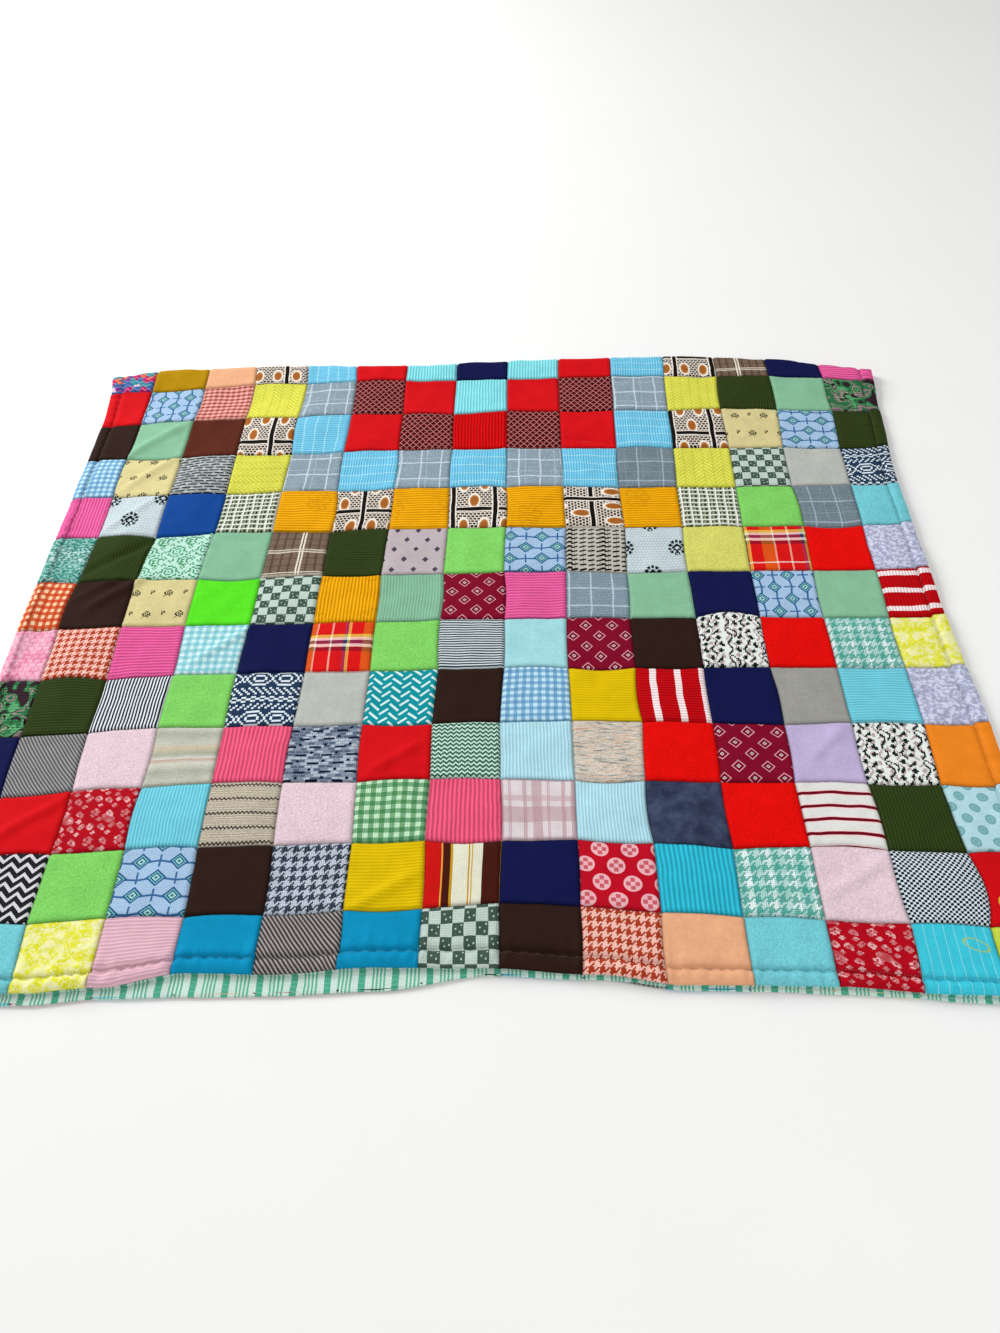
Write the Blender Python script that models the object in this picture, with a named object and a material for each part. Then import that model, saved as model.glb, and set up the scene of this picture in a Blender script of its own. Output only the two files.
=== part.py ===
# Patchwork quilt of double-knit squares with a striped cotton backing, folded once
# across its middle row and lying flat: backing inside, patchwork outside.
# Metres, +Z up. +X runs across the quilt, +Y runs away from the open edge to the fold.
import math
from collections import namedtuple

import bpy
import bmesh

# Driving sizes
PATCH = 0.089              # finished patch, from a 4 inch square less its seams
FULL_COLUMNS = 13          # full-width columns between the two hemmed ones
TOP_THICKNESS = 0.0016     # double-knit with its pressed seam allowances
BACK_THICKNESS = 0.0010    # cotton backing
LAYER_GAP = 0.0005         # between patchwork and backing
REST_HEIGHT = 0.0085       # middle of the upper patchwork over the floor, inland
RIM_HEIGHT = 0.0066        # the same at the sides, where the upper half settles
RIM_REACH = 0.10           # how far inland the sides stay settled
RIM_SHARE = 0.4            # of a swell that still shows at the sides
SIDE_TUCK = 0.004          # the lower half shows this much less at each side
FOLD_RADIUS = 0.0068       # of the patchwork round the far fold
FOLD_REACH = 0.09          # how far the fold lifts the upper half

# Divisions of the sheet
ACROSS = 26
UPPER_STEPS = 23
FOLD_STEPS = 6
LOWER_STEPS = 12

# Edges of the folded quilt. Places are in patches, measured from the middle of column 8
# and from the seam over the open edge's row; the open edge's own overhangs are in mm.
OpenEdge = namedtuple("OpenEdge", "across upper lower")
OPEN_EDGE = [
    OpenEdge(-7.3, 94, 104),
    OpenEdge(-5.4, 90, 101),
    OpenEdge(-4.5, 84, 94),
    OpenEdge(-3.4, 67, 91),
    OpenEdge(-2.4, 69, 89),
    OpenEdge(-1.1, 61, 85),
    OpenEdge(0.3, 62, 68),
    OpenEdge(1.6, 69, 72),
    OpenEdge(2.7, 80, 84),
    OpenEdge(4.5, 82, 86),
    OpenEdge(6.0, 91, 94),
    OpenEdge(7.4, 97, 101),
]
FoldLine = namedtuple("FoldLine", "across along")
FOLD_LINE = [
    FoldLine(-7.4, 11.38),
    FoldLine(-6.0, 11.58),
    FoldLine(-3.5, 11.65),
    FoldLine(-1.5, 11.58),
    FoldLine(1.0, 11.70),
    FoldLine(4.0, 11.73),
    FoldLine(5.5, 11.58),
    FoldLine(7.5, 11.22),
]
Side = namedtuple("Side", "along left right")
SIDES = [
    Side(-1.2, -7.26, 7.42),
    Side(2.6, -7.24, 7.42),
    Side(5.0, -7.26, 7.32),
    Side(8.0, -7.24, 7.30),
    Side(10.0, -7.24, 7.44),
    Side(10.9, -7.28, 7.50),
    Side(11.7, -7.42, 7.56),
]
# Broad swells of the upper half: middle, half length and half width in patches,
# turn of the long way from +X in degrees, height in mm.
Swell = namedtuple("Swell", "across along half_long half_wide turn height")
SWELLS = [
    Swell(-5.5, 7.3, 2.6, 0.60, 55, 9.0),
    Swell(-5.7, 4.4, 1.9, 0.65, 62, 7.0),
    Swell(-3.4, 9.7, 2.0, 0.65, 38, 5.0),
    Swell(-2.6, 1.8, 1.8, 0.75, 20, 4.0),
    Swell(0.4, 5.8, 2.6, 0.90, 80, 4.0),
    Swell(3.1, 9.2, 2.0, 0.70, -35, 5.5),
    Swell(4.2, 4.6, 1.8, 0.80, -15, 6.0),
    Swell(6.3, 1.1, 1.4, 0.75, -60, 10.0),
    Swell(6.9, 6.4, 2.4, 0.55, 86, 7.0),
    Swell(2.2, 1.0, 1.5, 0.65, -25, 4.5),
]

CLOTHS = {
    "patchwork_top": dict(color=(0.56, 0.24, 0.22, 1.0), roughness=0.85),
    "backing": dict(color=(0.55, 0.86, 0.78, 1.0), roughness=0.9),
}


def smooth(t):
    t = min(max(t, 0.0), 1.0)
    return t * t * (3.0 - 2.0 * t)


def read_table(table, key, column, at):
    """Smoothly read one column of a table between the rows either side of a place."""
    rows = [(getattr(row, key), getattr(row, column)) for row in table]
    if at <= rows[0][0]:
        return rows[0][1]
    for (start, low), (end, high) in zip(rows, rows[1:]):
        if at <= end:
            return low + (high - low) * smooth((at - start) / (end - start))
    return rows[-1][1]


def side_at(y, column):
    return PATCH * read_table(SIDES, "along", column, y / PATCH)


def swell_height(x, y):
    total = 0.0
    for swell in SWELLS:
        dx, dy = x / PATCH - swell.across, y / PATCH - swell.along
        turn = math.radians(swell.turn)
        long_way = (dx * math.cos(turn) + dy * math.sin(turn)) / swell.half_long
        wide_way = (dy * math.cos(turn) - dx * math.sin(turn)) / swell.half_wide
        total += 0.001 * swell.height * math.exp(-(long_way ** 2 + wide_way ** 2))
    return total


def upper_height(x, y, fold_y):
    """Height of the middle of the upper patchwork over the floor."""
    inland = min(x - side_at(y, "left"), side_at(y, "right") - x) / RIM_REACH
    rise = smooth(inland)
    lift = 1.0 - smooth((fold_y - y) / FOLD_REACH)
    swell = swell_height(x, y) * (RIM_SHARE + (1.0 - RIM_SHARE) * rise)
    flat = RIM_HEIGHT + (REST_HEIGHT - RIM_HEIGHT) * rise + swell
    fold_top = TOP_THICKNESS / 2 + 2 * FOLD_RADIUS
    return flat + (fold_top - flat) * lift


def quilt_section(share_across, inset):
    """Points of the patchwork's middle line, or of a line at an inset inside it,
    from the open edge over the fold and back underneath."""
    across = -7.25 + share_across * (7.35 + 7.25)
    fold_y = PATCH * read_table(FOLD_LINE, "across", "along", across) - FOLD_RADIUS
    upper_edge = -0.001 * read_table(OPEN_EDGE, "across", "upper", across)
    lower_edge = -0.001 * read_table(OPEN_EDGE, "across", "lower", across)

    def place(y, z, tuck=0.0):
        left, right = side_at(y, "left") + tuck, side_at(y, "right") - tuck
        return (left + share_across * (right - left), y, z)

    points = []
    for step in range(UPPER_STEPS):
        y = upper_edge + (fold_y - upper_edge) * step / UPPER_STEPS
        x = place(y, 0.0)[0]
        points.append(place(y, upper_height(x, y, fold_y) - inset))
    radius = FOLD_RADIUS - inset
    for step in range(FOLD_STEPS + 1):
        angle = math.pi * (0.5 - step / FOLD_STEPS)
        z = TOP_THICKNESS / 2 + FOLD_RADIUS + radius * math.sin(angle)
        points.append(place(fold_y + radius * math.cos(angle), z))
    for step in range(1, LOWER_STEPS + 1):
        y = fold_y + (lower_edge - fold_y) * step / LOWER_STEPS
        tuck = SIDE_TUCK * smooth(3 * step / LOWER_STEPS)
        points.append(place(y, TOP_THICKNESS / 2 + inset, tuck))
    return points


def cloth_material(name):
    cloth = bpy.data.materials.new(name)
    cloth.use_nodes = True
    shader = cloth.node_tree.nodes["Principled BSDF"]
    shader.inputs["Base Color"].default_value = CLOTHS[name]["color"]
    shader.inputs["Roughness"].default_value = CLOTHS[name]["roughness"]
    shader.inputs["Metallic"].default_value = 0.0
    return cloth


def folded_sheet(name, inset, thickness, centre):
    """One cloth of the quilt, a grid laid on its folded section and thickened."""
    steps_along = UPPER_STEPS + FOLD_STEPS + LOWER_STEPS
    mesh = bpy.data.meshes.new(name)
    grid = bmesh.new()
    bmesh.ops.create_grid(grid, x_segments=ACROSS, y_segments=steps_along, size=1.0)
    sections = [quilt_section(i / ACROSS, inset) for i in range(ACROSS + 1)]
    for vertex in grid.verts:
        i = round((vertex.co.x + 1.0) / 2.0 * ACROSS)
        j = round((vertex.co.y + 1.0) / 2.0 * steps_along)
        x, y, z = sections[i][j]
        vertex.co = (x - centre[0], y - centre[1], z)
    bmesh.ops.recalc_face_normals(grid, faces=grid.faces)
    bmesh.ops.triangulate(grid, faces=grid.faces)
    grid.to_mesh(mesh)
    grid.free()
    sheet = bpy.data.objects.new(name, mesh)
    bpy.context.scene.collection.objects.link(sheet)
    mesh.materials.append(cloth_material(name))
    wall = sheet.modifiers.new("cloth thickness", "SOLIDIFY")
    wall.thickness = thickness
    wall.offset = 0.0
    wall.use_even_offset = True
    return sheet


def plan_centre():
    """Middle of the outermost cloth's plan, which becomes the origin."""
    sections = [quilt_section(i / ACROSS, 0.0) for i in range(ACROSS + 1)]
    xs = [point[0] for section in sections for point in section]
    ys = [point[1] for section in sections for point in section]
    half = TOP_THICKNESS / 2
    return ((min(xs) + max(xs)) / 2, (min(ys) + max(ys) + half) / 2)


for old in list(bpy.data.objects):
    bpy.data.objects.remove(old, do_unlink=True)

middle = plan_centre()
back_inset = TOP_THICKNESS / 2 + LAYER_GAP + BACK_THICKNESS / 2
folded_sheet("patchwork_top", 0.0, TOP_THICKNESS, middle)
folded_sheet("backing", back_inset, BACK_THICKNESS, middle)
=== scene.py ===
import math
import random

import bpy
import bmesh
from mathutils import Matrix, Vector, noise
from mathutils.bvhtree import BVHTree


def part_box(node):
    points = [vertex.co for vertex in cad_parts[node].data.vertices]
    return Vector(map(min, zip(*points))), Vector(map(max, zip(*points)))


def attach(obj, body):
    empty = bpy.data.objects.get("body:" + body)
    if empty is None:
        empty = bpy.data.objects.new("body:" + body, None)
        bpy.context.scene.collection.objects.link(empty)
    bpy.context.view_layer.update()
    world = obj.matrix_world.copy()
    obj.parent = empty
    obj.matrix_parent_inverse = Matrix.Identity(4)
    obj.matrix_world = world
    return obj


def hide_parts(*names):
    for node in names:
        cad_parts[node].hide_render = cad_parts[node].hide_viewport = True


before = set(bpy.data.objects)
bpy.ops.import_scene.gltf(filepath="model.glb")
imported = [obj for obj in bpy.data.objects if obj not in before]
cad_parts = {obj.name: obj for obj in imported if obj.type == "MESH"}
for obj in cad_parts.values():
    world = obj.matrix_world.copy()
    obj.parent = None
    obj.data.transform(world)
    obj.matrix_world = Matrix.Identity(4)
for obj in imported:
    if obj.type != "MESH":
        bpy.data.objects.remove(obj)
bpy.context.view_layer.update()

# Patchwork quilt of double-knit squares, folded in half over its centre row, backing inside.
# Lengths are metres unless a name or note says mm or patches.
quilt = {
    "patch": 0.089,            # finished square, cut from 4 inch squares
    "columns": 15,
    "rows": 25,
    "topThickness": 0.0016,
    "restHeight": 0.0085,      # middle of the upper patchwork over the floor, inland
    "rimHeight": 0.0066,       # the same at the sides
    "rimReach": 0.10,
    "rimShare": 0.4,
    "sideTuck": 0.004,         # the lower half lies this far in at each side
    "foldRadius": 0.0068,
    "foldReach": 0.09,
    "hemRoll": 0.0016,         # radius of the turned edge
    # across in patches from the middle column, then how far the upper and lower halves
    # hang past the last whole seam, mm
    "openEdge": [(-7.3, 94, 104), (-5.4, 90, 101), (-4.5, 84, 94), (-3.4, 67, 91),
                 (-2.4, 69, 89), (-1.1, 61, 85), (0.3, 62, 68), (1.6, 69, 72),
                 (2.7, 80, 84), (4.5, 82, 86), (6.0, 91, 94), (7.4, 97, 101)],
    # across and along in patches
    "foldLine": [(-7.4, 11.38), (-6.0, 11.58), (-3.5, 11.65), (-1.5, 11.58),
                 (1.0, 11.70), (4.0, 11.73), (5.5, 11.58), (7.5, 11.22)],
    # along, left edge and right edge in patches
    "sides": [(-1.2, -7.26, 7.42), (2.6, -7.24, 7.42), (5.0, -7.26, 7.32), (8.0, -7.24, 7.30),
              (10.0, -7.24, 7.44), (10.9, -7.28, 7.50), (11.7, -7.42, 7.56)],
    # broad swells: across, along, half length, half width in patches, turn in degrees, mm high
    "swells": [(-5.5, 7.3, 2.6, 0.60, 55, 9.0), (-5.7, 4.4, 1.9, 0.65, 62, 7.0),
               (-3.4, 9.7, 2.0, 0.65, 38, 5.0), (-2.6, 1.8, 1.8, 0.75, 20, 4.0),
               (0.4, 5.8, 2.6, 0.90, 80, 4.0), (3.1, 9.2, 2.0, 0.70, -35, 5.5),
               (4.2, 4.6, 1.8, 0.80, -15, 6.0), (6.3, 1.1, 1.4, 0.75, -60, 10.0),
               (6.9, 6.4, 2.4, 0.55, 86, 7.0), (2.2, 1.0, 1.5, 0.65, -25, 4.5)],
}


def smooth(share):
    share = 0.0 if share < 0.0 else 1.0 if share > 1.0 else share
    return share * share * (3.0 - 2.0 * share)


def readTable(table, at, column):
    # smoothly read one column of a table between the rows either side of a place
    if at <= table[0][0]:
        return table[0][column]
    for start, end in zip(table, table[1:]):
        if at <= end[0]:
            share = smooth((at - start[0]) / (end[0] - start[0]))
            return start[column] + (end[column] - start[column]) * share
    return table[-1][column]


patch = quilt["patch"]
halfTop = quilt["topThickness"] / 2
topLow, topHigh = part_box("patchwork_top")
leftmost = min(readTable(quilt["sides"], y / 20, 1) for y in range(-20, 228)) * patch
rightmost = max(readTable(quilt["sides"], y / 20, 2) for y in range(-20, 225)) * patch
farthest = max(row[1] for row in quilt["foldLine"]) * patch + halfTop
shift = Vector(((topLow[0] + topHigh[0] - leftmost - rightmost) / 2, topHigh[1] - farthest, 0.0))

view = {
    "place": (0.888 * patch, -5.378 * patch, 11.854 * patch + 0.009),
    "lens": 27.02,
    "heading": -2.85,          # degrees, positive to the right of +Y
    "dip": 51.64,              # degrees under level
    "roll": -2.78,
}


def makeCamera():
    data = bpy.data.cameras.new("camera")
    data.lens = view["lens"]
    data.sensor_width = 36.0
    camera = bpy.data.objects.new("camera", data)
    bpy.context.scene.collection.objects.link(camera)
    heading, dip, roll = (math.radians(view[key]) for key in ("heading", "dip", "roll"))
    ahead = Vector((math.sin(heading) * math.cos(dip), math.cos(heading) * math.cos(dip), -math.sin(dip)))
    level = Vector((math.cos(heading), -math.sin(heading), 0.0))
    upward = level.cross(ahead)
    right = math.cos(roll) * level + math.sin(roll) * upward
    top = math.cos(roll) * upward - math.sin(roll) * level
    turned = Matrix((right, top, -ahead)).transposed().to_4x4()
    camera.matrix_world = Matrix.Translation(Vector(view["place"]) + shift) @ turned
    bpy.context.scene.camera = camera


makeCamera()
print("camera placed")

# each swell with the cosine and sine of its turn
swells = [(*swell[:4], math.cos(math.radians(swell[4])), math.sin(math.radians(swell[4])), swell[5])
          for swell in quilt["swells"]]


def sideAt(along, column):
    return patch * readTable(quilt["sides"], along / patch, column)


def foldAt(across):
    # where the upper half meets the round of the fold
    return patch * readTable(quilt["foldLine"], across / patch, 1) - quilt["foldRadius"]


def edgeAt(across, column):
    return -0.001 * readTable(quilt["openEdge"], across / patch, column)


def upperHeight(x, y, foldY):
    inland = min(x - sideAt(y, 1), sideAt(y, 2) - x) / quilt["rimReach"]
    rise = smooth(inland)
    lift = 1.0 - smooth((foldY - y) / quilt["foldReach"])
    swell = 0.0
    for across, along, halfLong, halfWide, cos, sin, height in swells:
        dx, dy = x / patch - across, y / patch - along
        bulge = ((dx * cos + dy * sin) / halfLong) ** 2 + ((dy * cos - dx * sin) / halfWide) ** 2
        if bulge < 9.0:
            swell += 0.001 * height * math.exp(-bulge)
    swell *= quilt["rimShare"] + (1.0 - quilt["rimShare"]) * rise
    flat = quilt["rimHeight"] + (quilt["restHeight"] - quilt["rimHeight"]) * rise + swell
    return flat + (halfTop + 2 * quilt["foldRadius"] - flat) * lift


def lowerAlong(x, path):
    # the y of a place on the lower half, from its distance along the cloth
    return 2 * foldAt(x) + math.pi * quilt["foldRadius"] - path


def lowerEndAt(x):
    # how far along the cloth the lower half's open edge is
    return lowerAlong(x, edgeAt(x, 2))


def lieAt(x, path, proud):
    # a point on the folded cloth: path runs from the last whole seam of the upper half,
    # over the fold and back underneath, and proud is its height over the patchwork's middle
    foldY, radius = foldAt(x), quilt["foldRadius"]
    if path <= foldY:
        return Vector((x, path, upperHeight(x, path, foldY) + proud))
    turned = (path - foldY) / radius
    if turned < math.pi:
        reach = radius + proud
        return Vector((x, foldY + reach * math.sin(turned), halfTop + radius + reach * math.cos(turned)))
    return Vector((x, lowerAlong(x, path), halfTop - proud))


def sidePlace(path, column):
    # the quilt's left (1) or right (2) edge at a distance along the cloth
    x = sideAt(min(path, 11.6 * patch), column)
    foldY = foldAt(x)
    if path <= foldY + math.pi * quilt["foldRadius"]:
        return sideAt(min(path, foldY), column)
    y = lowerAlong(x, path)
    tuck = quilt["sideTuck"] * smooth(3 * (foldY - y) / (foldY - edgeAt(x, 2)))
    return sideAt(y, column) + (tuck if column == 1 else -tuck)


seams = {
    "seed": 7,
    "cornerScatter": 0.0012,
    "rowBow": 0.0014,          # how far a row seam bows between two corners
    "columnBow": 0.0010,
    "lowerRows": 11.85,        # rows from the fold's far seam to the lower edge
    "flatHeight": 0.009,       # the height at which the drift tables hold
    # seams that the lie of the cloth has pushed well out of line: (row, column) and how far
    "rowArches": {(6, 11): 0.010, (7, 3): -0.004, (8, 13): -0.004, (2, 12): 0.004},
    "columnArches": {(1, 14): 0.009, (8, 5): 0.004, (4, 10): -0.003},
    # drift of the row seams under rows 12, 10, 7, 4 and 1, at the left edge, after
    # columns 4, 8 and 12 and at the right edge, in hundredths of a patch towards the fold
    "rowsAt": (1, 3, 6, 9, 12),
    "columnsAt": (0, 4, 8, 12, 15),
    "along": ((-15, -3, 14, -8, -22), (-27, -5, 0, -9, -16), (-17, -12, -5, -7, -8),
              (-9, -1, 4, -6, -5), (-6, 15, 18, 17, -6)),
    "across": ((-3, -7, -3, 5, 4), (-3, -8, -4, -1, -2), (-10, -6, -4, -4, -5),
               (-1, 1, -1, -2, -2), (0, 3, -3, 2, 8)),
}


def driftAt(table, row, column):
    along = [readTable(list(zip(seams["columnsAt"], line)), column, 1) for line in table]
    return 0.01 * patch * readTable(list(zip(seams["rowsAt"], along)), row, 1)


def makeSeams():
    # corners of the patches by (row seam, column seam), and how far each seam bows
    chance = random.Random(seams["seed"])
    corners, rowBows, columnBows = {}, {}, {}
    rows, columns = quilt["rows"], quilt["columns"]
    for row in range(rows + 1):
        for column in range(columns + 1):
            x = (column - 7.5) * patch
            path = (row - 1) * patch
            stray = [chance.gauss(0.0, seams["cornerScatter"]) for axis in range(2)]
            if row <= 12:
                x += driftAt(seams["across"], row, column)
            if 1 <= row <= 12:
                path += driftAt(seams["along"], row, column)
                # the tables hold for a flat cloth: a raised seam sits nearer the camera's place
                level = seams["flatHeight"]
                eyeX, eyeY, eyeHeight = view["place"]
                toward = (upperHeight(x, path, foldAt(x)) + halfTop - level) / (eyeHeight - level)
                x += (eyeX - x) * toward
                path += (eyeY - path) * toward
            if row > 13:
                share = min((row - 13) / seams["lowerRows"], 1.0)
                path = 12 * patch + (lowerEndAt(x) - 12 * patch) * share
            if column in (0, columns):
                x = sidePlace(path, 1 if column == 0 else 2)
            else:
                x += stray[0]
            if row == 0:
                path = edgeAt(x, 1)
            elif row == rows:
                path = lowerEndAt(x)
            else:
                path += stray[1]
            corners[row, column] = (x, path)
            rowBows[row, column] = chance.gauss(0.0, seams["rowBow"])
            columnBows[row, column] = chance.gauss(0.0, seams["columnBow"])
    rowBows.update(seams["rowArches"])
    columnBows.update(seams["columnArches"])
    return corners, rowBows, columnBows


corners, rowBows, columnBows = makeSeams()


def onSeam(row, column, share, isRow):
    # a place on the seam that runs from a corner to the next one across or along
    start = corners[row, column]
    end = corners[row, column + 1] if isRow else corners[row + 1, column]
    x = start[0] + (end[0] - start[0]) * share
    path = start[1] + (end[1] - start[1]) * share
    if isRow and row == 0:
        return x, edgeAt(x, 1)
    if isRow and row == quilt["rows"]:
        return x, lowerEndAt(x)
    if isRow:
        return x, path + rowBows[row, column] * math.sin(math.pi * share)
    if column == 0 or column == quilt["columns"]:
        return sidePlace(path, 1 if column == 0 else 2), path
    return x + columnBows[row, column] * math.sin(math.pi * share), path


def patchPlaces(row, column, across, along):
    # where the stops of one patch fall between its four seams, as (x, path)
    near, far = [[onSeam(row + step, column, s, True) for s in across] for step in (0, 1)]
    left, right = [[onSeam(row, column + step, t, False) for t in along] for step in (0, 1)]
    nearLeft, nearRight = corners[row, column], corners[row, column + 1]
    farLeft, farRight = corners[row + 1, column], corners[row + 1, column + 1]
    places = {}
    for i, s in enumerate(across):
        for j, t in enumerate(along):
            places[i, j] = [
                near[i][axis] * (1 - t) + far[i][axis] * t + left[j][axis] * (1 - s) + right[j][axis] * s
                - (1 - t) * ((1 - s) * nearLeft[axis] + s * nearRight[axis])
                - t * ((1 - s) * farLeft[axis] + s * farRight[axis]) for axis in range(2)]
    return places


relief = {                     # of one patch, mm
    "ditch": 1.8,
    "ditchWidth": 1.4,
    "allowance": 0.45,         # the pressed seam allowance beside a seam
    "hemLine": 18.0,           # topstitching from the edge
    "hemReach": 36,
    "seamReach": 26,
    "hemPuff": 2.2,
    "hemValley": 2.6,          # how deep the topstitching pulls, and half how wide
    "valleyWidth": 2.6,
    "pucker": 1.9,
    "creaseGain": 1.5,
    "lowest": -3.2,
    "waves": ((70.0, 1.8), (30.0, 1.3)),
    # creases: column and row seam counts from the far left, start and end, height, half width
    "creases": [(1.0, 3.0, 1.9, 2.1, 3.0, 7), (1.2, 3.9, 1.9, 3.1, 2.6, 7), (1.1, 5.0, 1.9, 4.2, 2.8, 6),
                (1.05, 6.0, 2.0, 5.3, -3.0, 6), (1.3, 6.8, 2.1, 6.1, 3.2, 7), (1.0, 6.6, 1.7, 6.1, 2.0, 6),
                (3.2, 7.9, 4.0, 7.2, 2.4, 5), (9.1, 2.7, 9.9, 2.9, -2.4, 6), (9.2, 3.4, 9.9, 3.8, 2.4, 6),
                (6.1, 9.9, 6.8, 9.4, 2.2, 6), (1.1, 10.9, 1.9, 10.3, 2.4, 6), (6.1, 11.9, 6.9, 11.4, 2.4, 6),
                (12.2, 11.7, 12.9, 11.3, 2.4, 6), (12.3, 9.7, 12.8, 9.2, 2.2, 6),
                (10.3, 10.8, 10.9, 10.2, 2.4, 6), (10.4, 10.3, 10.8, 10.9, 1.8, 6),
                (0.42, 4.2, 0.38, 9.2, 3.0, 7)],
}


def creasesNear(row, column):
    # the creases that reach a patch
    near, margin = [], 0.5
    for crease in relief["creases"]:
        lowX, highX = sorted((crease[0], crease[2]))
        lowY, highY = sorted((crease[1], crease[3]))
        isBeside = lowX - margin < column + 1 and highX + margin > column
        if isBeside and lowY - margin < 13 - row and highY + margin > 12 - row:
            near.append(crease)
    return near


def creaseHeight(x, y, creases):
    across, along = x / patch + 7.5, 12.0 - y / patch
    total, runOut = 0.0, 0.2   # a crease fades out over this share past its ends
    for x0, y0, x1, y1, height, width in creases:
        dx, dy = x1 - x0, y1 - y0
        length = math.hypot(dx, dy)
        share = ((across - x0) * dx + (along - y0) * dy) / length ** 2
        if not -runOut < share < 1 + runOut:
            continue
        off = 1000 * patch * ((across - x0) * dy - (along - y0) * dx) / length
        if abs(off) > 3 * width:
            continue
        taper = smooth((share + runOut) / (2 * runOut)) * smooth((1 + runOut - share) / (2 * runOut))
        total += relief["creaseGain"] * height * taper * math.exp(-(off / width) ** 2)
    return total


def patchRelief(x, y, sides, dome, isUpper, creases):
    # mm over the cloth's plain lie, and how deep in a seam or the hem's valley the place is, 0 to 1,
    # which darkens the cloth's colour there as painted shade; sides holds (mm to the side, how strong a hem
    # it is, mm along it)
    height, shade = dome, 0.0
    for away, isHem, along in sides:
        if isHem and away < relief["hemReach"]:
            height += isHem * relief["hemPuff"] * math.sin(math.pi * min(max((away - 1) / 16, 0), 1))
            valley = math.exp(-((away - relief["hemLine"]) / relief["valleyWidth"]) ** 2)
            height -= isHem * relief["hemValley"] * valley
            # painted shade in the hem's valley
            shade = max(shade, 0.4 * isHem * valley)
            height += 0.8 * isHem * math.exp(-((away - 25) / 4) ** 2)
            band = math.exp(-((away - 13) / 8) ** 2) + 0.5 * math.exp(-((away - 29) / 8) ** 2)
            stray = 5.0 * noise.noise((x * 22, y * 22, 3.0))
            height += isHem * relief["pucker"] * band * math.sin(along / 2.5 + stray)
        elif not isHem and away < relief["seamReach"]:
            ditch = math.exp(-away / relief["ditchWidth"])
            height -= relief["ditch"] * ditch
            # painted shade down in the seam's ditch
            shade = max(shade, ditch)
            height += relief["allowance"] * math.sin(math.pi * min(max((away - 1.5) / 7, 0), 1))
            stray = 3.0 * noise.noise((x * 25, y * 25, 9.0))
            height += 0.3 * math.exp(-away / 6) * math.sin(along / 1.9 + stray)
    if not isUpper:
        return min(0.6 * height, 0.0), shade
    for size, strength in relief["waves"]:
        height += strength * noise.noise((x * 1000 / size, y * 1000 / size, size))
    height += creaseHeight(x, y, creases)
    return max(height, relief["lowest"]), shade


def axisStops(size, lowHem, highHem, isFine):
    # places across one patch, mm: (place, drop round the turned edge, place on the cloth)
    roll = 1000 * quilt["hemRoll"]
    seamStops = (0, 0.9, 2.2, 4.2, 7.0, 11.0) if isFine else (0, 2.5, 8.0)
    hemStops = (4, 7, 10.5, 13.5, 15.5, 16.8, 18, 19.2, 20.6, 23.5, 28) if isFine else (6, 16, 18, 20, 28)

    def side(isHem):
        if not isHem:
            return [(place, 0.0, place) for place in seamStops]
        turns = [math.pi * (1 - step / 4) for step in range(5)]
        rolled = [(roll * (1 - math.sin(turn)), roll * (1 - math.cos(turn)), roll * (1 - turn))
                  for turn in turns]
        return rolled + [(place, 0.0, place) for place in hemStops]

    low = side(lowHem)
    high = [(size - place, drop, size - cloth) for place, drop, cloth in reversed(side(highHem))]
    first, last = low[-1][0], high[0][0]
    steps = max(1, round((last - first) / (5.6 if isFine else 12.0)))
    middle = [first + (last - first) * step / steps for step in range(1, steps)]
    return low + [(place, 0.0, place) for place in middle] + high


def finishPiece(label, mesh, *looks):
    # turn a bmesh into a linked object with its materials
    data = bpy.data.meshes.new(label)
    mesh.to_mesh(data)
    mesh.free()
    piece = bpy.data.objects.new(label, data)
    bpy.context.scene.collection.objects.link(piece)
    for look in looks:
        data.materials.append(look)
    return piece


def emptyMaterial(name):
    material = bpy.data.materials.new(name)
    material.use_nodes = True
    material.node_tree.nodes.clear()
    return material, material.node_tree


def hexColour(text):
    # sRGB hex to linear
    parts = [int(text[index:index + 2], 16) / 255 for index in (1, 3, 5)]
    linear = [part / 12.92 if part <= 0.04045 else ((part + 0.055) / 1.055) ** 2.4 for part in parts]
    return (*linear, 1.0)


def addNode(tree, kind, *values, stops=None, fade="CONSTANT", **settings):
    # values fill the inputs in order; a dictionary fills them by name
    node = tree.nodes.new("ShaderNode" + kind)
    for name, setting in settings.items():
        setattr(node, name, setting)
    if stops:
        ramp = node.color_ramp
        ramp.interpolation = fade
        ramp.elements.remove(ramp.elements[1])
        ramp.elements[0].position = stops[0][0]
        for index, (place, colour) in enumerate(stops):
            element = ramp.elements.new(place) if index else ramp.elements[0]
            isHex = isinstance(colour, str)
            element.color = hexColour(colour) if isHex else (0.5, 0.5, 0.5, colour or 0.0)
    pairs = []
    for socket, value in zip([socket for socket in node.inputs if socket.enabled], values):
        if isinstance(value, dict):
            pairs += [(node.inputs[name], part) for name, part in value.items()]
        elif value is not None:
            pairs.append((socket, value))
    for socket, value in pairs:
        if isinstance(value, bpy.types.Node):
            value = next(output for output in value.outputs if output.enabled)
        if isinstance(value, bpy.types.NodeSocket):
            tree.links.new(value, socket)
        else:
            socket.default_value = hexColour(value) if isinstance(value, str) else value
    return node


# Each painter lays one thing over a cloth: it returns the colour and how far it covers.
# Places are mm on the cloth.

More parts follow.
